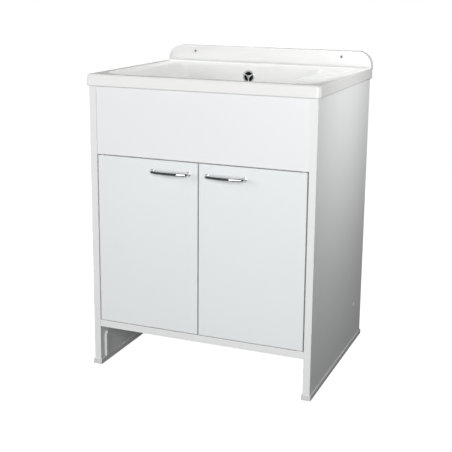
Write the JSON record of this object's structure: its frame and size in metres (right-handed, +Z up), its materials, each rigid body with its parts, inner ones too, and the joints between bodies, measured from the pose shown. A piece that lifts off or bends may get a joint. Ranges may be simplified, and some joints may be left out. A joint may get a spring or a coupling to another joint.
{
  "type": "utility laundry sink",
  "caption": "White laundry tub with an offset bowl, side ledge and backsplash on a two-door cabinet that is open at the back, with bow handles, drain and bottle trap.",
  "frame": {"origin": "on the floor, in the middle of the overall box's base", "axes": "+X to the right seen from the front, +Y from the doors to the wall, +Z up"},
  "size_m": [0.5996, 0.521, 0.803],
  "materials": {
    "tub_resin": "white, glossy moulded resin",
    "white_board": "white melamine foil on chipboard, satin",
    "white_front_board": "white melamine foil on chipboard, satin",
    "beech": "plain beech, unfinished",
    "white_plastic": "white, moulded, slightly matt",
    "shoe_plastic": "off-white, moulded, matt",
    "pipe_plastic": "white polypropylene, slightly matt",
    "nylon": "natural nylon, translucent white",
    "chrome": "bright chrome plating",
    "steel": "zinc-plated steel",
    "stainless": "polished stainless sheet",
    "black_plastic": "black polypropylene, slightly matt",
    "black_rubber": "black, matt"
  },
  "bodies": {
    "cabinet": {"tub": "tub_resin", "left_side": "white_board", "right_side": "white_board", "bottom_shelf": "white_board", "upper_rear_rail": "white_board", "lower_rear_rail": "white_board", "front_panel": "white_front_board", "left_shoe": "shoe_plastic", "right_shoe": "shoe_plastic", "plinth_stops": "white_plastic", "dowels": "beech", "shelf_screws": "steel", "screw_caps": "white_plastic", "pivot_bushes": "nylon", "left_catch": "white_plastic", "right_catch": "white_plastic", "catch_screws": "steel", "overflow_grille": "chrome", "overflow_screw": "steel", "overflow_seal": "black_rubber", "overflow_elbow": "black_plastic", "overflow_pipe": "pipe_plastic", "drain_strainer": "stainless", "drain_screw": "steel", "drain_seal": "black_rubber", "drain_body": "pipe_plastic", "tail_nut": "pipe_plastic", "tailpipe": "pipe_plastic", "trap_nut": "pipe_plastic", "trap_body": "pipe_plastic", "trap_cup": "pipe_plastic", "outlet_nut": "pipe_plastic", "outlet_pipe": "pipe_plastic"},
    "left_leaf": {"left_door": "white_front_board", "left_handle": "chrome", "left_handle_screws": "steel", "left_pivot_pins": "steel", "left_strike_plate": "steel", "left_strike_screw": "steel"},
    "right_leaf": {"right_door": "white_front_board", "right_handle": "chrome", "right_handle_screws": "steel", "right_pivot_pins": "steel", "right_strike_plate": "steel", "right_strike_screw": "steel"}
  },
  "joints": [
    {"name": "left_door_hinge", "type": "hinge", "parent": "cabinet", "child": "left_leaf", "pos_m": [-0.263, -0.2265, 0.3415], "axis": [0, 0, -1], "range_deg": [0, 110]},
    {"name": "right_door_hinge", "type": "hinge", "parent": "cabinet", "child": "right_leaf", "pos_m": [0.263, -0.2265, 0.3415], "axis": [0, 0, 1], "range_deg": [0, 110]}
  ]
}
